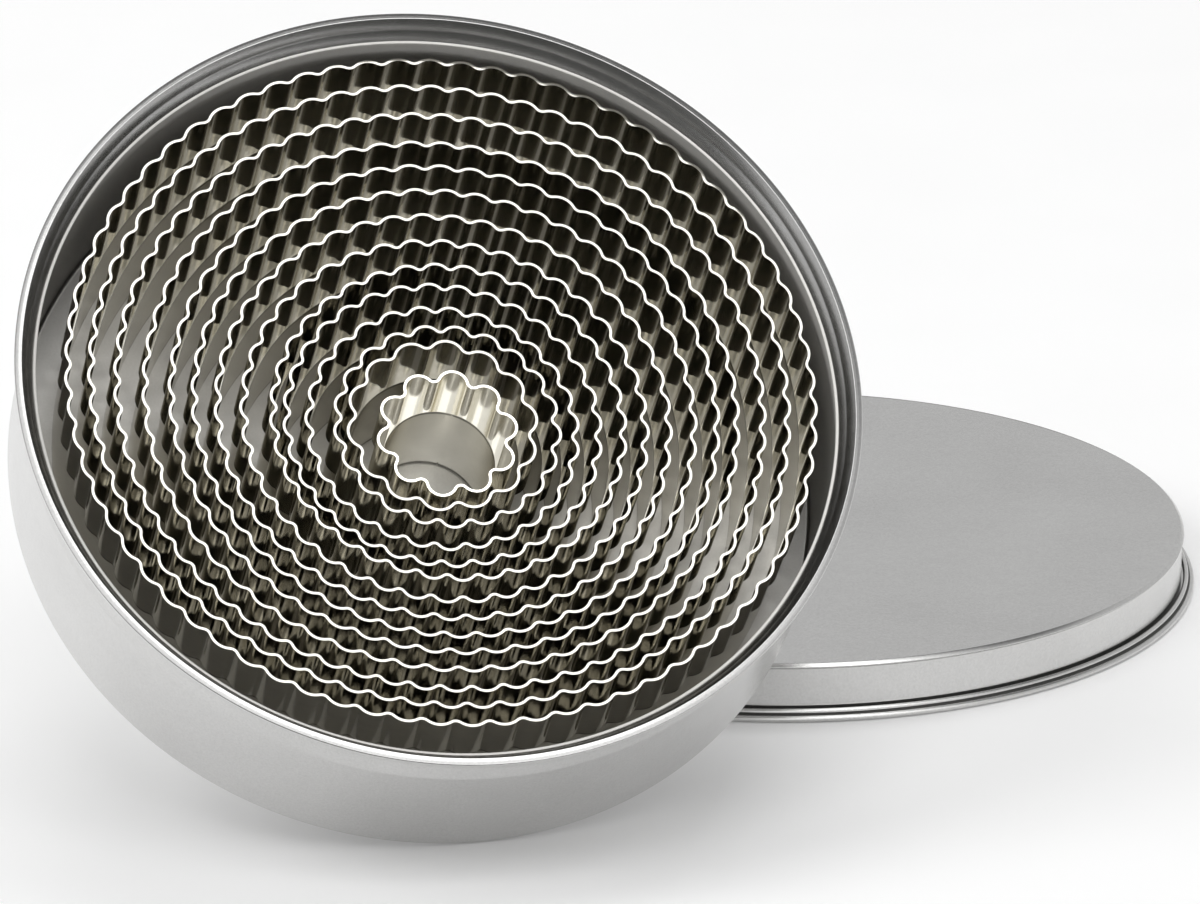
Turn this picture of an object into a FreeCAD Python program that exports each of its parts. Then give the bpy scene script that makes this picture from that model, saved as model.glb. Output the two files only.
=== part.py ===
"""A nested set of fluted ring cutters in a round tin, with the tin's lid off.

Local frame of the tin and of the cutters: Z runs up the tin's axis from the
underside of its base. World frame: X to the right, Y away from the viewer,
Z up, with the surface at zero and the origin under the middle of the set.
"""

import math
import os

import FreeCAD
import Part
import Sketcher

# Driving sizes, in millimetres and degrees
SIZES = {
    # tin body
    "tin_wall_radius": 62.75,
    "tin_sheet": 0.4,
    "tin_corner": 1.0,
    "tin_crease_height": 22.5,
    "tin_neck_height": 28.6,
    "tin_neck_depth": 1.0,
    "tin_ledge": 0.55,
    "tin_ledge_round": 0.15,
    "tin_flare": 2.55,
    "tin_flare_rise": 2.7,
    "tin_bead_radius": 0.73,
    # lid
    "lid_clearance": 0.3,
    "lid_sheet": 0.4,
    "lid_height": 9.1,
    "lid_roll_radius": 0.65,
    "lid_roll_out": 0.4,
    "lid_roll_up": 0.1,
    "lid_bend": 0.4,
    "lid_bead_radius": 0.5,
    "lid_hem_width": 1.6,
    "lid_hem_ledge": 1.2,
    # cutters
    "cutter_sheet": 0.4,
    "plain_height": 16.0,
    "flute_height": 9.5,
    "flute_stand": 0.15,
    "valley_share": 0.42,
    "lap_length": 7.0,
    "joint_width": 0.25,
    "joint_depth": 0.15,
    "seam_angle": 66.0,
    "seam_spread": 5.0,
    # free room between the largest cutter and the tin's neck, all round
    "nest_room": 3.36,
    # place of the tin and of the lid on the surface
    "tin_tilt": 42.92,
    "tin_turn": 13.4,
    "lid_right": 47.3,
    "lid_gap": 50.4,
}

# Free room between each cutter and the next smaller one, all round
CLEAR_ROOMS = [2.52, 2.54, 2.83, 2.26, 2.21, 2.35, 2.36, 2.47, 1.46, 1.96, 2.03, 1.09, 2.01]

# Flutes on each cutter, from the largest to the smallest: how many, how deep and turned how far
FLUTE_COUNTS = [71, 68, 65, 58, 53, 49, 45, 40, 36, 32, 27, 21, 14, 10]
FLUTE_DEPTHS = [0.76, 0.8, 0.84, 0.74, 0.76, 0.8, 0.84, 0.95, 0.92, 0.94, 0.98, 1.12, 1.28, 1.8]
FLUTE_TURNS = [1.4, 2.7, 2.8, 6.1, 0.0, 6.8, 6.1, 0.1, 5.1, 7.0, 10.5, 7.1, 0.5, 2.9]

CUTTERS = len(FLUTE_COUNTS)

# How far each cutter has moved in its free room, as shares to the right and up the tilted floor
REST_SHARES = [
    (0.45, 0.66),
    (-0.17, -0.32),
    (-0.05, -0.44),
    (-0.01, -0.3),
    (0.16, -0.28),
    (-0.07, -0.34),
    (-0.12, -0.31),
    (0.02, -0.33),
    (0.21, -0.12),
    (-0.68, -0.35),
    (-0.07, -0.28),
    (0.38, 0.1),
    (-0.65, 0.2),
    (0.26, -0.73),
]

# Seams stand to either side of the middle one, in places taken by stride
SEAM_STRIDE = 5
SEAM_PLACES = 7

FULL_TURN = 360.0
FOUND_WITHIN = 0.001


def name_of(word, number):
    """A name with a two-figure number."""
    return f"{word}_{number:02d}"


def fill_sheet(doc):
    """The spreadsheet that holds every driving size."""
    sheet = doc.addObject("Spreadsheet::Sheet", "sizes")
    rows = dict(SIZES)
    for number, room in enumerate(CLEAR_ROOMS, start=1):
        rows[name_of("clear", number)] = room
    for number, count in enumerate(FLUTE_COUNTS, start=1):
        rows[name_of("flutes", number)] = count
        rows[name_of("depth", number)] = FLUTE_DEPTHS[number - 1]
        rows[name_of("turn", number)] = FLUTE_TURNS[number - 1]
        rows[name_of("right", number)] = REST_SHARES[number - 1][0]
        rows[name_of("up", number)] = REST_SHARES[number - 1][1]
    for row, (alias, value) in enumerate(rows.items(), start=1):
        sheet.set(f"A{row}", alias)
        sheet.set(f"B{row}", str(value))
        sheet.setAlias(f"B{row}", alias)
    doc.recompute()
    return sheet


doc = FreeCAD.newDocument("cutter_set")
sizes = fill_sheet(doc)


def size(alias):
    """The value of one named size."""
    return float(sizes.get(alias))


def amount(text):
    """The value of a sum such as 'tin_wall_radius - tin_sheet'."""
    total = 0.0
    sign = 1.0
    for word in text.split():
        if word == "+":
            sign = 1.0
        elif word == "-":
            sign = -1.0
        else:
            total += sign * size(word)
    return total


def bound(text):
    """The same sum as an expression on the spreadsheet."""
    words = []
    for word in text.split():
        words.append(word if word in "+-" else f"sizes.{word}")
    return " ".join(words)


def bind(thing, prop, text):
    """Ties a property of an object to a sum of named sizes."""
    thing.setExpression(prop, bound(text))


def origin_plane(body, role):
    """One of a body's own origin planes."""
    for feature in body.Origin.OriginFeatures:
        if feature.Role == role:
            return feature
    raise ValueError(role)


def upright_sketch(body, name):
    """A sketch on the body's XZ plane, so that its Y axis is the body's Z axis."""
    sketch = body.newObject("Sketcher::SketchObject", name)
    sketch.AttachmentSupport = [(origin_plane(body, "XZ_Plane"), "")]
    sketch.MapMode = "FlatFace"
    return sketch


def turn_profile(body, name, corners):
    """A closed profile of straight lines, given by its corners, turned about Z.

    Each corner is a pair of sums of named sizes: distance from the axis and height.
    An empty sum puts the corner on that axis.
    """
    sketch = upright_sketch(body, f"{name}_profile")
    points = []
    for out, up in corners:
        points.append(FreeCAD.Vector(amount(out), amount(up), 0))
    for index, point in enumerate(points):
        following = points[(index + 1) % len(points)]
        sketch.addGeometry(Part.LineSegment(point, following), False)
    last = len(points) - 1
    for index in range(len(points)):
        following = 0 if index == last else index + 1
        sketch.addConstraint(Sketcher.Constraint("Coincident", index, 2, following, 1))
    for index, (out, up) in enumerate(corners):
        for text, kind, axis, value in (
            (out, "DistanceX", -2, points[index].x),
            (up, "DistanceY", -1, points[index].y),
        ):
            if not text:
                sketch.addConstraint(Sketcher.Constraint("PointOnObject", index, 1, axis))
                continue
            row = sketch.addConstraint(Sketcher.Constraint(kind, -1, 1, index, 1, value))
            sketch.setExpression(f"Constraints[{row}]", bound(text))
    return turned(body, name, sketch)


def turn_circle(body, name, out, up, radius):
    """A ring of round section, added to the body."""
    sketch = upright_sketch(body, f"{name}_profile")
    centre = FreeCAD.Vector(amount(out), amount(up), 0)
    circle = Part.Circle(centre, FreeCAD.Vector(0, 0, 1), amount(radius))
    sketch.addGeometry(circle, False)
    for kind, text, value in (("DistanceX", out, centre.x), ("DistanceY", up, centre.y)):
        row = sketch.addConstraint(Sketcher.Constraint(kind, -1, 1, 0, 3, value))
        sketch.setExpression(f"Constraints[{row}]", bound(text))
    row = sketch.addConstraint(Sketcher.Constraint("Radius", 0, amount(radius)))
    sketch.setExpression(f"Constraints[{row}]", bound(radius))
    return turned(body, name, sketch)


def turned(body, name, sketch):
    """A sketch turned a full turn about the body's Z axis."""
    solid = body.newObject("PartDesign::Revolution", name)
    solid.Profile = sketch
    solid.ReferenceAxis = (sketch, ["V_Axis"])
    solid.Angle = FULL_TURN
    doc.recompute()
    return solid


def round_edges(body, base, name, radius, circles):
    """A fillet on the circular edges that have the given radius and height."""
    edges = []
    for out, up in circles:
        for index, edge in enumerate(base.Shape.Edges, start=1):
            curve = edge.Curve
            if not isinstance(curve, Part.Circle):
                continue
            if abs(curve.Radius - amount(out)) > FOUND_WITHIN:
                continue
            if abs(curve.Center.z - amount(up)) > FOUND_WITHIN:
                continue
            edges.append(f"Edge{index}")
    if len(edges) != len(circles):
        raise ValueError(f"{name}: found {len(edges)} edges")
    fillet = body.newObject("PartDesign::Fillet", name)
    fillet.Base = (base, edges)
    fillet.Radius = amount(radius)
    bind(fillet, "Radius", radius)
    doc.recompute()
    return fillet


# Sums of sizes that several pieces use
TIN_INSIDE = "tin_wall_radius - tin_sheet"
NECK_OUTSIDE = "tin_wall_radius - tin_neck_depth"
NECK_INSIDE = "tin_wall_radius - tin_neck_depth - tin_sheet"
LEDGE_UNDERSIDE = "tin_neck_height - tin_sheet"
BEAD_CENTRE = "tin_wall_radius - tin_neck_depth + tin_flare"
BEAD_HEIGHT = "tin_neck_height + tin_flare_rise"
SKIRT_INSIDE = f"{BEAD_CENTRE} + tin_bead_radius + lid_clearance"
SKIRT_OUTSIDE = f"{SKIRT_INSIDE} + lid_sheet"
ROLL_CENTRE = f"{SKIRT_OUTSIDE} + lid_roll_out - lid_roll_radius"
ROLL_HEIGHT = "lid_height + lid_roll_up - lid_roll_radius"
HEM_CENTRE = f"{SKIRT_OUTSIDE} + lid_hem_width"
HEM_UPPER_BEAD = "lid_bead_radius + lid_bead_radius + lid_bead_radius"
LARGEST_RADIUS = f"{NECK_INSIDE} - nest_room - depth_01 - flute_stand"


def make_tin():
    """The tin body: base, wall, neck that leans in to a narrow ledge, flared lip and rolled rim."""
    body = doc.addObject("PartDesign::Body", "tin_body")
    body.Label = "tin_body"
    cup = turn_profile(
        body,
        "tin_cup",
        [
            ("", ""),
            ("tin_wall_radius", ""),
            ("tin_wall_radius", "tin_crease_height"),
            (NECK_OUTSIDE, LEDGE_UNDERSIDE),
            (f"{NECK_OUTSIDE} + tin_ledge", LEDGE_UNDERSIDE),
            (BEAD_CENTRE, BEAD_HEIGHT),
            (f"{BEAD_CENTRE} - tin_sheet", f"{BEAD_HEIGHT} + tin_sheet"),
            (f"{NECK_INSIDE} + tin_ledge", "tin_neck_height"),
            (NECK_INSIDE, "tin_neck_height"),
            (TIN_INSIDE, "tin_crease_height"),
            (TIN_INSIDE, "tin_sheet"),
            ("", "tin_sheet"),
        ],
    )
    corner = round_edges(body, cup, "tin_base_corner", "tin_corner", [("tin_wall_radius", "")])
    floor = round_edges(
        body, corner, "tin_floor_corner", "tin_corner - tin_sheet", [(TIN_INSIDE, "tin_sheet")]
    )
    round_edges(
        body,
        floor,
        "tin_ledge_edge",
        "tin_ledge_round",
        [(NECK_OUTSIDE, LEDGE_UNDERSIDE), (NECK_INSIDE, "tin_neck_height")],
    )
    turn_circle(body, "tin_rim_bead", BEAD_CENTRE, BEAD_HEIGHT, "tin_bead_radius")
    return body


def make_lid():
    """The lid, open side down: panel, rolled edge, skirt, and a hem of two beads below a groove."""
    body = doc.addObject("PartDesign::Body", "lid")
    body.Label = "lid"
    cap = turn_profile(
        body,
        "lid_cap",
        [
            ("", "lid_height"),
            (SKIRT_OUTSIDE, "lid_height"),
            (SKIRT_OUTSIDE, "lid_hem_ledge"),
            (HEM_CENTRE, "lid_hem_ledge"),
            (HEM_CENTRE, ""),
            (SKIRT_INSIDE, ""),
            (SKIRT_INSIDE, "lid_height - lid_sheet"),
            ("", "lid_height - lid_sheet"),
        ],
    )
    top = round_edges(
        body, cap, "lid_top_corner", "lid_bend + lid_sheet", [(SKIRT_OUTSIDE, "lid_height")]
    )
    round_edges(
        body, top, "lid_inner_corner", "lid_bend", [(SKIRT_INSIDE, "lid_height - lid_sheet")]
    )
    turn_circle(body, "lid_edge_roll", ROLL_CENTRE, ROLL_HEIGHT, "lid_roll_radius")
    turn_circle(body, "lid_hem_lower_bead", HEM_CENTRE, "lid_bead_radius", "lid_bead_radius")
    turn_circle(body, "lid_hem_upper_bead", HEM_CENTRE, HEM_UPPER_BEAD, "lid_bead_radius")
    return body


class Flutes:
    """The wave of one cutter: lobes and tighter valleys as arcs that run into each other."""

    def __init__(self, valley_radius, count, depth, start_angle):
        share = size("valley_share")
        self.count = count
        self.start = start_angle
        self.pitch = 2 * math.pi / count
        tip = valley_radius + depth
        half_cosine = math.cos(self.pitch / 2)
        square = 2 * share * (half_cosine - 1)
        lobe_part = tip - half_cosine * valley_radius
        valley_part = half_cosine * tip - valley_radius
        linear = -2 * (lobe_part + share * valley_part)
        constant = tip**2 + valley_radius**2 - 2 * half_cosine * tip * valley_radius
        root = math.sqrt(linear**2 - 4 * square * constant)
        self.lobe_radius = 2 * constant / (-linear + root)
        self.valley_bend = share * self.lobe_radius
        self.lobe_centre = tip - self.lobe_radius
        self.valley_centre = valley_radius + self.valley_bend

    def spot(self, radius, angle):
        """A point by its radius and angle about the cutter's axis."""
        return FreeCAD.Vector(radius * math.cos(angle), radius * math.sin(angle), 0)

    def joint(self, index, side, offset):
        """Where a lobe runs into the valley on one side of it."""
        angle = self.start + index * self.pitch
        lobe = self.spot(self.lobe_centre, angle)
        valley = self.spot(self.valley_centre, angle + side * self.pitch / 2)
        toward = (valley - lobe).normalize()
        return lobe + toward * (self.lobe_radius + offset)

    def lobe_arc(self, index, offset):
        """The arc over one lobe."""
        angle = self.start + index * self.pitch
        tip = self.spot(self.lobe_centre + self.lobe_radius + offset, angle)
        first = self.joint(index, -1, offset)
        last = self.joint(index, 1, offset)
        return Part.Arc(first, tip, last).toShape()

    def valley_arc(self, index, offset):
        """The arc through the valley that follows one lobe."""
        angle = self.start + (index + 0.5) * self.pitch
        bottom = self.spot(self.valley_centre - self.valley_bend + offset, angle)
        first = self.joint(index, 1, offset)
        last = self.joint(index + 1, -1, offset)
        return Part.Arc(first, bottom, last).toShape()

    def wire(self, offset):
        """The closed wave, offset outward from the middle of the sheet."""
        edges = []
        for index in range(self.count):
            edges.append(self.lobe_arc(index, offset))
            edges.append(self.valley_arc(index, offset))
        return Part.Wire(edges)


def outline(name, face):
    """A flat outline that an extrusion starts from."""
    thing = doc.addObject("Part::Feature", name)
    thing.Shape = face
    return thing


def extrude(name, base, height, foot):
    """An outline raised by one sum of sizes from the height of another."""
    solid = doc.addObject("Part::Extrusion", name)
    solid.Base = base
    solid.DirMode = "Custom"
    solid.Dir = FreeCAD.Vector(0, 0, 1)
    solid.LengthFwd = amount(height)
    solid.Solid = True
    bind(solid, "LengthFwd", height)
    bind(solid, "Placement.Base.z", foot)
    return solid


def cylinder(name, radius_rule, height):
    """A cylinder whose radius follows a rule and whose height is a named size."""
    solid = doc.addObject("Part::Cylinder", name)
    solid.setExpression("Radius", radius_rule)
    bind(solid, "Height", height)
    return solid


def cut(name, base, tool):
    """One solid less another."""
    solid = doc.addObject("Part::Cut", name)
    solid.Base = base
    solid.Tool = tool
    return solid


def step_between(number):
    """The step in radius from one cutter to the next smaller one."""
    depth = name_of("depth", number + 1)
    return f"{depth} + flute_stand + cutter_sheet + {name_of('clear', number)}"


def make_cutter(number, outer_radius):
    """One ring cutter: plain band, small ledge, fluted wall, and the lap and joint of its seam."""
    label = name_of("cutter", number)
    half = size("cutter_sheet") / 2
    inner_radius = outer_radius - size("cutter_sheet")
    count = int(round(size(name_of("flutes", number))))
    depth = size(name_of("depth", number))
    turn = math.radians(size(name_of("turn", number)))
    flutes = Flutes(inner_radius + half + size("flute_stand"), count, depth, turn)

    # fluted wall with the ledge that joins it to the plain band
    circle = Part.Circle(FreeCAD.Vector(), FreeCAD.Vector(0, 0, 1), inner_radius)
    bore = Part.Wire([circle.toShape()])
    wave = Part.makeFace([flutes.wire(half), bore], "Part::FaceMakerBullseye")
    wave_face = outline(f"{label}_wave_face", wave)
    crown = extrude(f"{label}_crown", wave_face, "flute_height", "plain_height")
    hollow_face = outline(f"{label}_hollow_face", Part.Face(flutes.wire(-half)))
    hollow = extrude(f"{label}_hollow", hollow_face, "flute_height", "plain_height + cutter_sheet")
    fluted = cut(f"{label}_fluted", crown, hollow)

    # plain band
    if number == 1:
        rule = bound(LARGEST_RADIUS)
    else:
        step = bound(step_between(number - 1))
        rule = f"{name_of('cutter', number - 1)}_outside.Radius - ({step}) * 1 mm"
    outside = cylinder(f"{label}_outside", rule, "plain_height")
    own_radius = f"{label}_outside.Radius"
    inside_rule = f"{own_radius} - sizes.cutter_sheet * 1 mm"
    inside = cylinder(f"{label}_inside", inside_rule, "plain_height")
    band = cut(f"{label}_band", outside, inside)

    # lap of the seam: a second layer of sheet outside the plain band
    seam_place = number * SEAM_STRIDE % SEAM_PLACES - SEAM_PLACES // 2
    if number == CUTTERS:
        seam_place = 0
    seam = size("seam_angle") + seam_place * size("seam_spread")
    lap_outside = cylinder(
        f"{label}_lap_outside", f"{own_radius} + sizes.cutter_sheet * 1 mm", "plain_height"
    )
    lap_inside = cylinder(
        f"{label}_lap_inside", f"{own_radius} - sizes.cutter_sheet * 0.5 mm", "plain_height"
    )
    lap_outside.setExpression("Angle", f"sizes.lap_length * 1 mm / {own_radius} * 180 deg / pi")
    lap_angle = math.degrees(size("lap_length") / outer_radius)
    lap_outside.Placement.Rotation = FreeCAD.Rotation(FreeCAD.Vector(0, 0, 1), seam - lap_angle / 2)
    lap = cut(f"{label}_lap", lap_outside, lap_inside)

    # joint line of the seam: a fine groove down the inside of the plain band
    joint = doc.addObject("Part::Box", f"{label}_joint")
    joint.setExpression("Length", f"{own_radius} - (sizes.cutter_sheet - sizes.joint_depth) * 1 mm")
    bind(joint, "Width", "joint_width")
    bind(joint, "Height", "plain_height")
    joint.Placement.Rotation = FreeCAD.Rotation(FreeCAD.Vector(0, 0, 1), seam)

    sheet = doc.addObject("Part::MultiFuse", f"{label}_sheet")
    sheet.Shapes = [band, fluted, lap]
    sheet.Refine = True
    ring = cut(label, sheet, joint)
    ring.Label = label
    return ring


def place_tin():
    """The tin tipped toward the viewer, with its base corner on the surface at the origin."""
    turn = FreeCAD.Rotation(FreeCAD.Vector(0, 0, 1), size("tin_turn"))
    tilt = FreeCAD.Rotation(FreeCAD.Vector(1, 0, 0), size("tin_tilt"))
    rotation = turn.multiply(tilt)
    corner = size("tin_corner")
    lowest = FreeCAD.Vector(0, corner - size("tin_wall_radius"), corner)
    base = FreeCAD.Vector(0, 0, corner) - rotation.multVec(lowest)
    return FreeCAD.Placement(base, rotation)


def place_lid():
    """The lid flat on the surface, to the right of and behind the tin."""
    reach = amount(HEM_CENTRE) + size("lid_bead_radius")
    return FreeCAD.Placement(
        FreeCAD.Vector(size("lid_right"), reach + size("lid_gap"), 0), FreeCAD.Rotation()
    )


def nest_places():
    """Where each cutter stands on the tin's floor, in the tin's own frame."""
    right = 0.0
    up = 0.0
    room = size("nest_room")
    places = []
    for number in range(1, CUTTERS + 1):
        right += room * size(name_of("right", number))
        up += room * size(name_of("up", number))
        spot = FreeCAD.Vector(right, up, size("tin_sheet"))
        places.append(FreeCAD.Placement(spot, FreeCAD.Rotation()))
        if number < CUTTERS:
            room = size(name_of("clear", number))
    return places


def make_all():
    """Every piece, in its place."""
    tin = make_tin()
    lid = make_lid()
    rings = []
    radius = amount(LARGEST_RADIUS)
    for number in range(1, CUTTERS + 1):
        rings.append(make_cutter(number, radius))
        if number < CUTTERS:
            radius -= amount(step_between(number))
    doc.recompute()
    tin_place = place_tin()
    tin.Placement = tin_place
    lid.Placement = place_lid()
    for ring, spot in zip(rings, nest_places()):
        ring.Placement = tin_place.multiply(spot)
    return [tin, lid] + rings


def centre_set(pieces):
    """Moves the set so that the origin lies under the middle of its outer box."""
    doc.recompute()
    box = FreeCAD.BoundBox()
    for piece in pieces:
        box.add(piece.Shape.optimalBoundingBox())
    shift = FreeCAD.Vector(-box.Center.x, -box.Center.y, 0)
    for piece in pieces:
        piece.Placement.Base = piece.Placement.Base + shift
    doc.recompute()


def export(pieces):
    """Checks every object and writes one STEP file for each piece."""
    for thing in doc.Objects:
        if "Invalid" in thing.State or "Error" in thing.State:
            raise ValueError(f"{thing.Name} is not built")
    os.makedirs("parts", exist_ok=True)
    for piece in pieces:
        shape = piece.Shape
        if shape.isNull() or not shape.isValid() or len(shape.Solids) != 1:
            raise ValueError(f"{piece.Label} is not one valid solid")
        shape.exportStep(f"parts/{piece.Label}.step")
        place = piece.Placement.Base
        print(piece.Label, "volume", round(shape.Volume, 2), "base", [round(v, 3) for v in place])


pieces = make_all()
centre_set(pieces)
export(pieces)
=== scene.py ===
"""Looks of the nested cutter set: metal finishes, floor, light and camera.

Lengths are in metres, apart from the outlines of the tin and the lid, which are in
millimetres. The cutters keep the shapes of the frame. The tin and the lid are turned
again from the same main sizes, with finer trim for clean highlights: the tin's rim
and ledge, and the lid's edge and hem.
"""

import math

import bpy
from mathutils import Euler, Matrix, Vector


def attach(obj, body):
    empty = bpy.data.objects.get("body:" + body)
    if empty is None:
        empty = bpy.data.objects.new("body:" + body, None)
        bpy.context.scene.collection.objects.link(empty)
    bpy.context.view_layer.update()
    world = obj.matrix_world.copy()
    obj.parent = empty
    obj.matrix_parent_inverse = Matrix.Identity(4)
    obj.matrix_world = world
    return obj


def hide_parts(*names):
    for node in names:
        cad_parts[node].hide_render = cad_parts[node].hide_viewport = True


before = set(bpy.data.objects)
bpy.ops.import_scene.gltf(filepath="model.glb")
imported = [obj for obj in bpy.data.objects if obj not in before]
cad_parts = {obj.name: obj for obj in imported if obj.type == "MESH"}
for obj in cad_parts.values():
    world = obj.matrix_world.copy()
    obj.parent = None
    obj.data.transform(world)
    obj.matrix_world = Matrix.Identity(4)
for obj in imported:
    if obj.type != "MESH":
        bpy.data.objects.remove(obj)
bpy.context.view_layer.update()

# Places that the frame fixes
TIN_BASE = (-0.031975, -0.035888, 0.042318)
TIN_TURN = (math.radians(42.92), 0.0, math.radians(13.4))
LID_BASE = (0.025963, 0.037691, 0.0)
LID_TURN = (0.0, 0.0, 0.0)

# Sizes of the tin, in millimetres
WALL_RADIUS = 62.75
SHEET = 0.4
BASE_CORNER = 1.0
CREASE_HEIGHT = 22.5
CREASE_BEND = 2.0
NECK_HEIGHT = 28.6
NECK_DEPTH = 1.0
LEDGE = 0.42
LEDGE_RISE = 0.075
LEDGE_CROWN = 0.015
LEDGE_ROUND = 0.15
FLARE = 2.55
FLARE_RISE = 2.7
FLARE_SWELL = 0.05
RIM_BEAD = 0.73

# Corners of the tin's flattened rim, out and up from its middle, and the radii of the rounded ones
RIM_NOTCH = (-0.15, -0.5)
RIM_UNDER = (0.6, -0.62)
RIM_EDGE = (0.71, 0.38)
RIM_CROWN = (0.16, 0.555)
RIM_TOP = (-0.4, 0.66)
RIM_UNDER_ROUND = 0.3
RIM_EDGE_ROUND = 0.25
RIM_TOP_ROUND = 0.12

# Sizes of the lid, in millimetres
LID_CLEARANCE = 0.3
LID_HEIGHT = 9.1
EDGE_IN = 0.22
EDGE_RUN = 0.12
EDGE_OUT = 0.4
EDGE_UP = 0.06
EDGE_DROP = 0.5
EDGE_CROWN = 0.045
EDGE_ROUND = 0.12
EDGE_UNDERCUT = 0.4
LID_BEND = 0.4
HEM_BEAD = 0.5
HEM_WIDTH = 1.6
HEM_LEDGE = 1.2
HEM_UPPER_BEAD = 0.42
HEM_UPPER_OUT = 0.75
HEM_UPPER_HEIGHT = 1.45
RECESS = 0.2
RECESS_TOP = 2.15

# Angles where the hem's upper bead ends and its lower bead starts, in degrees
HEM_UPPER_END = -40
HEM_LOWER_START = 110

# Turned pieces: flat sides round the axis, and the angle from which an edge is sharp
SIDES = 360
SHARP_ANGLE = math.radians(40)
MILLIMETRE = 0.001

# How near to its ends a long straight run is held, and from which length, in millimetres
HOLD = 0.12
LONG_RUN = 4 * HOLD

# Steps along the round stretches of the outlines
BASE_STEPS = 12
INNER_BASE_STEPS = 10
BEND_STEPS = 8
UPPER_BEAD_STEPS = 40
LOWER_BEAD_STEPS = 28

# Swells across the tin's flare, and the steps along them
SWELL_COUNT = 2
SWELL_STEPS = 24

# Numbers of the finishes on the rows of the tin and the lid
BRIGHT = 0
INNER_WALL = 1
INNER_FLOOR = 2
# Rows of the lid in painted shade: the hem's recess and the crease between its beads
SHADED_ROWS = 1

CUTTER_COUNT = 14
CUTTERS = [f"cutter_{number:02d}" for number in range(1, CUTTER_COUNT + 1)]

# Tinplate outside, the duller inner wall of the tin, its darker floor in painted shade, and the lid's hem
# lines
# darkened with painted shade: darker and lighter grey, least and most roughness, and how metallic it is
BRIGHT_TINPLATE = ((0.605, 0.602, 0.594), (0.735, 0.732, 0.724), 0.24, 0.27, 1.0)
DULL_TINPLATE = ((0.66, 0.647, 0.615), (0.72, 0.706, 0.675), 0.4, 0.48, 0.25)
# Painted shade: the tin's floor is a darker copy of the tinplate, so the gaps between the rings look
# darker
SHADED_FLOOR_TINPLATE = ((0.49, 0.482, 0.46), (0.55, 0.54, 0.52), 0.35, 0.42, 1.0)
HEM_PAINTED_SHADE = ((0.03, 0.03, 0.028), (0.06, 0.06, 0.056), 0.5, 0.6, 0.3)

# Finish of the cutters, and a much paler copy of it for the smallest, in painted light: darker and
# lighter grey, and least and most roughness
NESTED_STEEL = ((0.51, 0.497, 0.455), (0.595, 0.58, 0.535), 0.1, 0.17)
PAINTED_LIGHT_STEEL = ((0.86, 0.845, 0.79), (0.92, 0.905, 0.85), 0.13, 0.2)

# Cast of the cutters' steel where it is seen at a low angle
STEEL_CAST = (0.76, 0.742, 0.69, 1.0)

# Painted shade on the cutters, at the foot and at the ledge below the flutes: height in the tin's
# frame, the share of the colour that is left there, and how far from there it starts to fade and is gone
CUTTER_PAINTED_SHADE = [
    (0.0004, 0.2, 0.0003, 0.0007),
    (0.0164, 0.3, 0.0001, 0.0004),
]

# Noise in the materials: scale per metre, and detail
GRAIN = (2600.0, 3.0)
CLOUDS = (38.0, 4.0)
SCUFFS = (420.0, 2.0)
ROLLED_LINES = (900.0, 3.0)
SMUDGES = (120.0, 3.0)
FLOOR_MOTTLE = (30.0, 3.0)
CARD_MOTTLE = (12.0, 2.0)

# Most of any noise lies between these values
NOISE_LOW = 0.3
NOISE_HIGH = 0.7

# The lines on rolled strip are drawn out round the ring
LINE_STRETCH = (0.04, 1.0, 1.0)

# Share of the finer noise in the grey of tinplate and of strip
GRAIN_SHARE = 0.55
LINE_SHARE = 0.4

# Bumps: height and strength
GRAIN_BUMP = (0.00001, 0.15)
LINE_BUMP = (0.00002, 0.3)

# The pale floor: half its width, how far it lies below the set, and its darker and lighter grey
FLOOR_HALF = 7.0
FLOOR_DROP = 0.0001
FLOOR_GREYS = ((0.925, 0.925, 0.925), (0.94, 0.94, 0.94))

# The dark card in front of the set: half its width, its edges, and its darker and lighter grey
CARD_HALF = 2.0
CARD_NEAR = -0.125
CARD_FAR = -2.5
CARD_GREYS = ((0.03, 0.03, 0.028), (0.045, 0.045, 0.042))

MATT = 0.9
WHITE = (1.0, 1.0, 1.0, 1.0)

# Strength of the surround: for the floor, and the least that reflections show of it
EVEN_GLOW = 0.38
DIM_GLOW = 0.12

# How much whiter the floor is to the camera and to reflections than its light alone makes it
FLOOR_LIFT = 0.08

# Pale zones of the surround in reflections: direction, cosines where it starts and is full, strength
PALE_ZONES = [
    ((0.0, 0.0, 1.0), 0.85, 0.55, 0.62),
    ((0.02, -0.71, 0.7), 0.45, 0.85, 1.0),
]

# Lamps: name, place, width, depth, power in watts, and the rays that see it. The softboxes show in
# the metal, and the fills light the floor
LAMPS = [
    ("top_softbox", (0.38, -0.85, 2.1), 1.0, 1.7, 9.5, "glossy"),
    ("front_softbox", (0.6, -1.27, 0.53), 1.6, 0.5, 1.6, "glossy"),
    ("front_fill", (0.0, -1.3, 2.2), 1.6, 1.2, 16.0, "diffuse"),
    ("back_fill", (0.2, 0.9, 1.9), 1.6, 1.2, 11.2, "diffuse"),
    ("left_fill", (-1.5, -0.3, 1.3), 1.5, 1.2, 13.0, "diffuse"),
    ("right_fill", (1.3, -0.9, 1.5), 1.5, 1.2, 2.6, "diffuse"),
]

# Where the lamps point
SET_MIDDLE = (-0.02, -0.05, 0.05)

# The camera: place, aim, sensor width and focal length in millimetres, and the range that it sees
CAMERA_PLACE = (-0.002887, -1.46665, 0.54571)
CAMERA_AIM = (-0.002887, -0.080539, 0.06249)
SENSOR_WIDTH = 36.0
FOCAL_LENGTH = 294.6
NEAREST = 0.05
FARTHEST = 50.0

# Light goes down between the nested rings and out again in this many reflections
REFLECTIONS = 14


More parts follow.
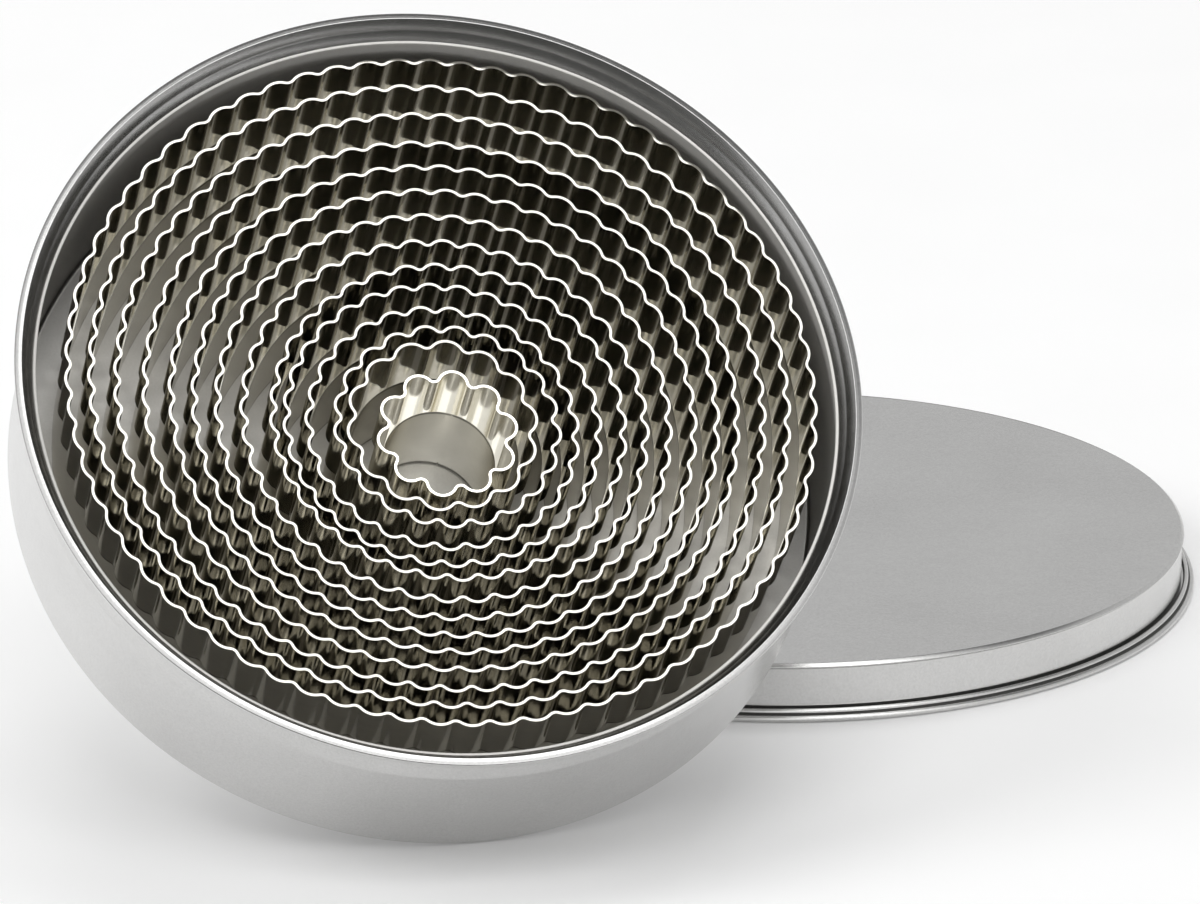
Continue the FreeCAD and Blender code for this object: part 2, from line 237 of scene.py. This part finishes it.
class Maker:
    """Adds nodes to a material or a world and joins them."""

    def __init__(self, owner, shader="Principled BSDF"):
        owner.use_nodes = True
        self.owner = owner
        self.tree = owner.node_tree
        self.shader = self.tree.nodes[shader]

    def add(self, kind, **settings):
        """A node with the given settings."""
        node = self.tree.nodes.new(kind)
        for name, value in settings.items():
            setattr(node, name, value)
        return node

    def join(self, source, target):
        """A link from an output socket to an input socket."""
        self.tree.links.new(source, target)

    def math(self, operation, first, second=0.0):
        """A Math node on two values, each a socket or a number."""
        node = self.add("ShaderNodeMath", operation=operation)
        for index, value in enumerate((first, second)):
            if isinstance(value, (int, float)):
                node.inputs[index].default_value = value
            else:
                self.join(value, node.inputs[index])
        return node.outputs["Value"]

    def mix(self, first, second, share):
        """A share of the first value and the rest of the second."""
        rest = self.math("MULTIPLY", second, 1 - share)
        return self.math("ADD", self.math("MULTIPLY", first, share), rest)

    def split(self, point):
        """The three parts of a point."""
        parts = self.add("ShaderNodeSeparateXYZ")
        self.join(point, parts.inputs["Vector"])
        return [parts.outputs[axis] for axis in "XYZ"]

    def own_point(self, base, turn):
        """The shading point in a piece's own frame, with Z along its axis."""
        place = self.add("ShaderNodeTexCoord")
        mapping = self.add("ShaderNodeMapping", vector_type="TEXTURE")
        mapping.inputs["Location"].default_value = base
        mapping.inputs["Rotation"].default_value = turn
        self.join(place.outputs["Object"], mapping.inputs["Vector"])
        return mapping.outputs["Vector"]

    def round_point(self, point):
        """The point as (length round the axis, radius, height), for marks that run round a piece."""
        x, y, z = self.split(point)
        angle = self.math("ARCTAN2", y, x)
        squares = self.math("ADD", self.math("MULTIPLY", x, x), self.math("MULTIPLY", y, y))
        radius = self.math("POWER", squares, 0.5)
        joined = self.add("ShaderNodeCombineXYZ")
        self.join(self.math("MULTIPLY", angle, radius), joined.inputs["X"])
        self.join(radius, joined.inputs["Y"])
        self.join(z, joined.inputs["Z"])
        return joined.outputs["Vector"]

    def noise(self, point, scale, detail, stretch=(1.0, 1.0, 1.0)):
        """Noise at a scale per metre, stretched along the axes."""
        mapping = self.add("ShaderNodeMapping")
        mapping.inputs["Scale"].default_value = stretch
        self.join(point, mapping.inputs["Vector"])
        node = self.add("ShaderNodeTexNoise")
        node.inputs["Scale"].default_value = scale
        node.inputs["Detail"].default_value = detail
        self.join(mapping.outputs["Vector"], node.inputs["Vector"])
        return node.outputs["Fac"]

    def between(self, fac, low, high, start=NOISE_LOW, end=NOISE_HIGH, fade="LINEAR"):
        """A value that goes from low to high as fac goes from start to end."""
        node = self.add("ShaderNodeMapRange", interpolation_type=fade)
        node.inputs["From Min"].default_value = start
        node.inputs["From Max"].default_value = end
        node.inputs["To Min"].default_value = low
        node.inputs["To Max"].default_value = high
        self.join(fac, node.inputs["Value"])
        return node.outputs["Result"]

    def tint(self, fac, dark, light):
        """A colour that goes from dark to light over the range where most noise lies."""
        ramp = self.add("ShaderNodeValToRGB")
        low, high = ramp.color_ramp.elements
        low.position = NOISE_LOW
        low.color = (*dark, 1.0)
        high.position = NOISE_HIGH
        high.color = (*light, 1.0)
        self.join(fac, ramp.inputs["Fac"])
        return ramp.outputs["Color"]

    def bump(self, height, distance, strength):
        """A bump of the given height in metres."""
        node = self.add("ShaderNodeBump")
        node.inputs["Distance"].default_value = distance
        node.inputs["Strength"].default_value = strength
        self.join(height, node.inputs["Height"])
        return node.outputs["Normal"]


def satin_tinplate(name, base, turn, dark, light, smooth, rough, metal):
    """Tinplate with a fine satin grain, faint clouds and small scuffs, between two greys."""
    maker = Maker(bpy.data.materials.new(name))
    point = maker.own_point(base, turn)
    grain = maker.noise(point, *GRAIN)
    clouds = maker.noise(point, *CLOUDS)
    scuffs = maker.noise(point, *SCUFFS)
    shader = maker.shader
    shader.inputs["Metallic"].default_value = metal
    colour = maker.tint(maker.mix(grain, clouds, GRAIN_SHARE), dark, light)
    maker.join(colour, shader.inputs["Base Color"])
    maker.join(maker.between(scuffs, smooth, rough), shader.inputs["Roughness"])
    maker.join(maker.bump(grain, *GRAIN_BUMP), shader.inputs["Normal"])
    return maker.owner


def bright_steel(name, base, turn, dark, light, smooth, rough):
    """Rolled strip: faint lines round the ring, smudges, a warm cast, and painted shade at foot and ledge.
    """
    maker = Maker(bpy.data.materials.new(name))
    point = maker.own_point(base, turn)
    lines = maker.noise(maker.round_point(point), *ROLLED_LINES, LINE_STRETCH)
    smudges = maker.noise(point, *SMUDGES)
    height = maker.split(point)[2]
    # Painted shade: the colour is scaled down in thin bands at the foot and at the ledge below the flutes
    shade_scale = 1.0
    for level, left, start, end in CUTTER_PAINTED_SHADE:
        away = maker.math("ABSOLUTE", maker.math("SUBTRACT", height, level))
        shade_scale = maker.math("MULTIPLY", maker.between(away, left, 1.0, start, end), shade_scale)
    colour = maker.add("ShaderNodeVectorMath", operation="SCALE")
    maker.join(maker.tint(maker.mix(lines, smudges, LINE_SHARE), dark, light), colour.inputs["Vector"])
    maker.join(shade_scale, colour.inputs["Scale"])
    shader = maker.shader
    shader.inputs["Metallic"].default_value = 1.0
    shader.inputs["Specular Tint"].default_value = STEEL_CAST
    maker.join(colour.outputs["Vector"], shader.inputs["Base Color"])
    maker.join(maker.between(smudges, smooth, rough), shader.inputs["Roughness"])
    maker.join(maker.bump(lines, *LINE_BUMP), shader.inputs["Normal"])
    return maker.owner


def offset(place, step):
    """The point at a step from a place."""
    return (place[0] + step[0], place[1] + step[1])


def arc(centre, radius, first, last, count):
    """Points on an arc about a centre, from one angle to another in degrees."""
    points = []
    for step in range(count + 1):
        angle = math.radians(first + (last - first) * step / count)
        points.append(offset(centre, (radius * math.cos(angle), radius * math.sin(angle))))
    return points


def entry_angle(centre, radius, start, end):
    """The angle about a centre, in degrees, where a line from outside the circle enters it."""
    way = (Vector(end) - Vector(start)).normalized()
    back = Vector(start) - Vector(centre)
    along = back.dot(way)
    run = -along - math.sqrt(along * along - back.length_squared + radius * radius)
    spot = back + way * run
    return math.degrees(math.atan2(spot.y, spot.x))


def bend(before, corner, after, radius):
    """Points of the arc that rounds a corner between two lines."""
    corner = Vector(corner)
    back = (Vector(before) - corner).normalized()
    onward = (Vector(after) - corner).normalized()
    half = back.angle(onward) / 2
    reach = radius / math.tan(half)
    middle = corner + (back + onward).normalized() * radius / math.sin(half)
    points = []
    for step in range(BEND_STEPS + 1):
        spoke = (corner + back * reach).lerp(corner + onward * reach, step / BEND_STEPS) - middle
        points.append(tuple(middle + spoke.normalized() * radius))
    return points


def swells(start, end, height):
    """Points of a run with low round swells across it, to the right of the way it goes."""
    way = Vector(end) - Vector(start)
    side = Vector((way.y, -way.x)).normalized()
    points = []
    for step in range(1, SWELL_STEPS):
        share = step / SWELL_STEPS
        rise = height * abs(math.sin(SWELL_COUNT * math.pi * share))
        points.append(tuple(Vector(start) + way * share + side * rise))
    return points


def held(points):
    """The outline with extra points near the ends of its long runs, so that they shade as straight."""
    result = [points[0]]
    for start, end in zip(points, points[1:]):
        way = Vector(end) - Vector(start)
        if way.length > LONG_RUN:
            step = way.normalized() * HOLD
            result.append(tuple(Vector(start) + step))
            result.append(tuple(Vector(end) - step))
        result.append(end)
    return result


def lathe(name, outline, base, turn, finish_of):
    """A solid turned about its axis from an outline, with the number of each row's finish."""
    place = Matrix.Translation(base) @ Euler(turn).to_matrix().to_4x4()
    spots = []
    rows = []
    for out, up in outline:
        row = []
        for side in range(SIDES if out > 0 else 1):
            angle = 2 * math.pi * side / SIDES
            own = Vector((out * math.cos(angle), out * math.sin(angle), up)) * MILLIMETRE
            row.append(len(spots))
            spots.append(place @ own)
        rows.append(row)
    faces = []
    for lower, upper in zip(rows, rows[1:]):
        for side in range(SIDES):
            following = (side + 1) % SIDES
            face = [lower[side % len(lower)], lower[following % len(lower)]]
            face += [upper[following % len(upper)], upper[side % len(upper)]]
            faces.append(list(dict.fromkeys(face)))
    mesh = bpy.data.meshes.new(name)
    mesh.from_pydata(spots, [], faces)
    for face in mesh.polygons:
        face.material_index = finish_of[face.index // SIDES]
    mesh.shade_smooth()
    mesh.set_sharp_from_angle(angle=SHARP_ANGLE)
    piece = bpy.data.objects.new(name, mesh)
    bpy.context.collection.objects.link(piece)
    return piece


def tin_outline():
    """The tin from the middle of its underside, up the outside, over the rim and down the inside."""
    inside = WALL_RADIUS - SHEET
    neck_outside = WALL_RADIUS - NECK_DEPTH
    neck_inside = neck_outside - SHEET
    crease = (WALL_RADIUS, CREASE_HEIGHT)
    crease_inside = (inside, CREASE_HEIGHT)
    neck = (neck_outside, NECK_HEIGHT - SHEET)
    flare_foot = (neck_outside + LEDGE, NECK_HEIGHT - SHEET)
    ledge_end = (neck_inside + LEDGE, NECK_HEIGHT + LEDGE_RISE)
    ledge_edge = (neck_inside, NECK_HEIGHT)
    ledge_crown = (neck_inside + LEDGE / 2, NECK_HEIGHT + LEDGE_RISE / 2 + LEDGE_CROWN)
    rim = (neck_outside + FLARE, NECK_HEIGHT + FLARE_RISE)
    rim_notch = offset(rim, RIM_NOTCH)
    rim_under = offset(rim, RIM_UNDER)
    rim_edge = offset(rim, RIM_EDGE)
    rim_crown = offset(rim, RIM_CROWN)
    rim_top = offset(rim, RIM_TOP)
    points = [(0, 0)]
    points += arc((WALL_RADIUS - BASE_CORNER, BASE_CORNER), BASE_CORNER, -90, 0, BASE_STEPS)
    points += bend((WALL_RADIUS, 0), crease, neck, CREASE_BEND)
    points += [neck, flare_foot, rim_notch]
    points += bend(rim_notch, rim_under, rim_edge, RIM_UNDER_ROUND)
    points += bend(rim_under, rim_edge, rim_crown, RIM_EDGE_ROUND)
    points += [rim_crown]
    points += bend(rim_crown, rim_top, ledge_end, RIM_TOP_ROUND)
    points += swells(points[-1], ledge_end, FLARE_SWELL)
    points += [ledge_end, ledge_crown]
    points += bend(ledge_crown, ledge_edge, crease_inside, LEDGE_ROUND)
    points += bend(ledge_edge, crease_inside, (inside, 0), CREASE_BEND)
    floor_corner = BASE_CORNER - SHEET
    points += arc((inside - floor_corner, BASE_CORNER), floor_corner, 0, -90, INNER_BASE_STEPS)
    points += [(0, SHEET)]
    return held(points)


def tin_finishes(outline):
    """The finish of each row of the tin: bright outside and on the rim, duller on the inner wall, and
    darker on the floor in painted shade.
    """
    heights = [up for out, up in outline]
    top = heights.index(max(heights))
    finishes = []
    for row in range(len(outline) - 1):
        finish = BRIGHT
        if row > top and heights[row] <= NECK_HEIGHT + LEDGE_RISE:
            finish = INNER_WALL
        if row > top and heights[row + 1] <= BASE_CORNER:
            finish = INNER_FLOOR
        finishes.append(finish)
    return finishes


def lid_outline():
    """The lid from the middle of its top, over the bevelled edge, down the skirt and back inside.

    The second result is the pairs of points between which the outline is darkened with painted shade.
    """
    inside = WALL_RADIUS - NECK_DEPTH + FLARE + RIM_BEAD + LID_CLEARANCE
    outside = inside + SHEET
    edge_foot = (outside - EDGE_IN - EDGE_RUN, LID_HEIGHT)
    edge_top = (outside - EDGE_IN, LID_HEIGHT + EDGE_UP)
    edge_end = (outside + EDGE_OUT, LID_HEIGHT - EDGE_DROP)
    undercut = (outside, LID_HEIGHT - EDGE_DROP - EDGE_UNDERCUT)
    slope = Vector(edge_end) - Vector(edge_top)
    proud = Vector((-slope.y, slope.x)).normalized() * EDGE_CROWN
    crown = tuple((Vector(edge_top) + Vector(edge_end)) / 2 + proud)
    recess_top = (outside, RECESS_TOP)
    recess = outside - RECESS
    ledge = (recess, HEM_LEDGE)
    upper = (outside + HEM_UPPER_OUT, HEM_UPPER_HEIGHT)
    lower = (outside + HEM_WIDTH, HEM_BEAD)
    ledge_angle = entry_angle(upper, HEM_UPPER_BEAD, ledge, (upper[0], HEM_LEDGE)) % 360
    upper_bead = arc(upper, HEM_UPPER_BEAD, ledge_angle, HEM_UPPER_END, UPPER_BEAD_STEPS)
    lower_bead = arc(lower, HEM_BEAD, HEM_LOWER_START, -90, LOWER_BEAD_STEPS)
    corner = (inside, LID_HEIGHT - SHEET)
    points = [(0, LID_HEIGHT), edge_foot]
    points += bend(edge_foot, edge_top, crown, EDGE_ROUND)
    points += [crown]
    points += bend(crown, edge_end, undercut, EDGE_ROUND)
    points += [undercut, recess_top, (recess, RECESS_TOP - RECESS / 2), ledge]
    points += upper_bead + lower_bead
    points += [(inside, 0)]
    points += bend((inside, 0), corner, (0, LID_HEIGHT - SHEET), LID_BEND)
    points += [(0, LID_HEIGHT - SHEET)]
    return held(points), [(recess_top, ledge), (upper_bead[-1], lower_bead[0])]


def lid_finishes(outline, painted_shade_runs):
    """The finish of each row of the lid: bright, apart from the runs darkened with painted shade."""
    finishes = [BRIGHT] * (len(outline) - 1)
    for first, last in painted_shade_runs:
        for row in range(outline.index(first), outline.index(last)):
            finishes[row] = SHADED_ROWS
    return finishes


def stand_for(piece, node, body, materials):
    """Puts a turned piece in the place of a node of the frame."""
    for material in materials:
        piece.data.materials.append(material)
    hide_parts(node)
    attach(piece, body)


def dress(node, material):
    """Gives a node of the frame its finish."""
    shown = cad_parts[node]
    for slot in shown.material_slots:
        slot.material = material


def matt_maker(name, mottle, greys):
    """The maker of a matt material with a faint mottle."""
    maker = Maker(bpy.data.materials.new(name))
    place = maker.add("ShaderNodeTexCoord")
    fac = maker.noise(place.outputs["Object"], *mottle)
    maker.join(maker.tint(fac, *greys), maker.shader.inputs["Base Color"])
    maker.shader.inputs["Roughness"].default_value = MATT
    return maker


def level_sheet(name, half, far, near, height, material):
    """A level rectangle as wide as twice half, between two places along Y."""
    corners = [(-half, far, height), (half, far, height), (half, near, height), (-half, near, height)]
    mesh = bpy.data.meshes.new(name)
    mesh.from_pydata(corners, [], [(0, 1, 2, 3)])
    mesh.materials.append(material)
    sheet = bpy.data.objects.new(name, mesh)
    bpy.context.collection.objects.link(sheet)
    return sheet


def make_floor():
    """The pale floor, with a very faint mottle."""
    maker = matt_maker("pale_floor", FLOOR_MOTTLE, FLOOR_GREYS)
    maker.shader.inputs["Specular IOR Level"].default_value = 0.0
    path = maker.add("ShaderNodeLightPath")
    seen = maker.math("MAXIMUM", path.outputs["Is Camera Ray"], path.outputs["Is Glossy Ray"])
    maker.shader.inputs["Emission Color"].default_value = WHITE
    maker.join(maker.math("MULTIPLY", seen, FLOOR_LIFT), maker.shader.inputs["Emission Strength"])
    floor = level_sheet("floor", FLOOR_HALF, -FLOOR_HALF, FLOOR_HALF, -FLOOR_DROP, maker.owner)


def make_flag():
    """A dark card on the floor in front of the set, which only reflections see."""
    maker = matt_maker("dark_card", CARD_MOTTLE, CARD_GREYS)
    flag = level_sheet("flag", CARD_HALF, CARD_FAR, CARD_NEAR, 0.0, maker.owner)
    for ray in ("camera", "diffuse", "transmission", "volume_scatter", "shadow"):
        setattr(flag, f"visible_{ray}", False)


def make_world():
    """Soft surround: even light for the floor, and for reflections a dim one with pale zones."""
    maker = Maker(bpy.data.worlds.new("surround"), "Background")
    place = maker.add("ShaderNodeTexCoord")
    mirrored = DIM_GLOW
    for direction, start, end, glow in PALE_ZONES:
        toward = maker.add("ShaderNodeVectorMath", operation="DOT_PRODUCT")
        toward.inputs[1].default_value = direction
        maker.join(place.outputs["Generated"], toward.inputs[0])
        zone = maker.between(toward.outputs["Value"], 0.0, glow, start, end, "SMOOTHSTEP")
        mirrored = maker.math("MAXIMUM", zone, mirrored)
    path = maker.add("ShaderNodeLightPath")
    strength = maker.add("ShaderNodeMix")
    strength.inputs["A"].default_value = EVEN_GLOW
    maker.join(path.outputs["Is Glossy Ray"], strength.inputs["Factor"])
    maker.join(mirrored, strength.inputs["B"])
    seen = maker.math("MAXIMUM", strength.outputs["Result"], path.outputs["Is Camera Ray"])
    maker.shader.inputs["Color"].default_value = WHITE
    maker.join(seen, maker.shader.inputs["Strength"])
    bpy.context.scene.world = maker.owner


def make_light(name, place, width, depth, power, rays):
    """A softbox that lights either the floor, by diffuse rays, or the metal, by glossy ones."""
    data = bpy.data.lights.new(name, "AREA")
    data.shape = "RECTANGLE"
    data.size = width
    data.size_y = depth
    data.energy = power
    lamp = bpy.data.objects.new(name, data)
    lamp.location = place
    toward = Vector(SET_MIDDLE) - Vector(place)
    lamp.rotation_euler = toward.to_track_quat("-Z", "Y").to_euler()
    lamp.visible_camera = False
    lamp.visible_diffuse = rays == "diffuse"
    lamp.visible_glossy = rays == "glossy"
    bpy.context.collection.objects.link(lamp)


def make_camera():
    """The camera of the photograph."""
    data = bpy.data.cameras.new("camera")
    data.sensor_fit = "HORIZONTAL"
    data.sensor_width = SENSOR_WIDTH
    data.lens = FOCAL_LENGTH
    data.clip_start = NEAREST
    data.clip_end = FARTHEST
    camera = bpy.data.objects.new("camera", data)
    camera.location = CAMERA_PLACE
    toward = Vector(CAMERA_AIM) - Vector(CAMERA_PLACE)
    camera.rotation_euler = toward.to_track_quat("-Z", "Y").to_euler()
    bpy.context.collection.objects.link(camera)
    bpy.context.scene.camera = camera


# The tin and the lid
tin_finish = satin_tinplate("satin_tin", TIN_BASE, TIN_TURN, *BRIGHT_TINPLATE)
inside_finish = satin_tinplate("satin_tin_inside", TIN_BASE, TIN_TURN, *DULL_TINPLATE)
# Painted shade: the tin's floor gets a darker copy of the tinplate
shaded_floor_finish = satin_tinplate("satin_tin_floor_painted_shade", TIN_BASE, TIN_TURN, *SHADED_FLOOR_TINPLATE)
lid_finish = satin_tinplate("satin_lid", LID_BASE, LID_TURN, *BRIGHT_TINPLATE)
# Painted shade: a near-black finish on the hem's recess and between its beads
hem_painted_shade = satin_tinplate("hem_painted_shade", LID_BASE, LID_TURN, *HEM_PAINTED_SHADE)
tin_rows = tin_outline()
tin_shell = lathe("tin_shell", tin_rows, TIN_BASE, TIN_TURN, tin_finishes(tin_rows))
lid_rows, lid_shade_runs = lid_outline()
lid_shell = lathe("lid_shell", lid_rows, LID_BASE, LID_TURN, lid_finishes(lid_rows, lid_shade_runs))
stand_for(tin_shell, "tin_body", "tin", [tin_finish, inside_finish, shaded_floor_finish])
stand_for(lid_shell, "lid", "lid", [lid_finish, hem_painted_shade])

# The cutters
cutter_finish = bright_steel("bright_cutter", TIN_BASE, TIN_TURN, *NESTED_STEEL)
# Painted light: the smallest cutter gets a much paler copy of the cutters' steel
smallest_painted_light_finish = bright_steel("smallest_cutter_painted_light", TIN_BASE, TIN_TURN, *PAINTED_LIGHT_STEEL)
for cutter in CUTTERS[:-1]:
    dress(cutter, cutter_finish)
dress(CUTTERS[-1], smallest_painted_light_finish)

# The stage
make_floor()
make_flag()
make_world()
for lamp_values in LAMPS:
    make_light(*lamp_values)
make_camera()
bpy.context.scene.view_settings.view_transform = "Standard"
bpy.context.scene.cycles.max_bounces = REFLECTIONS
bpy.context.scene.cycles.glossy_bounces = REFLECTIONS
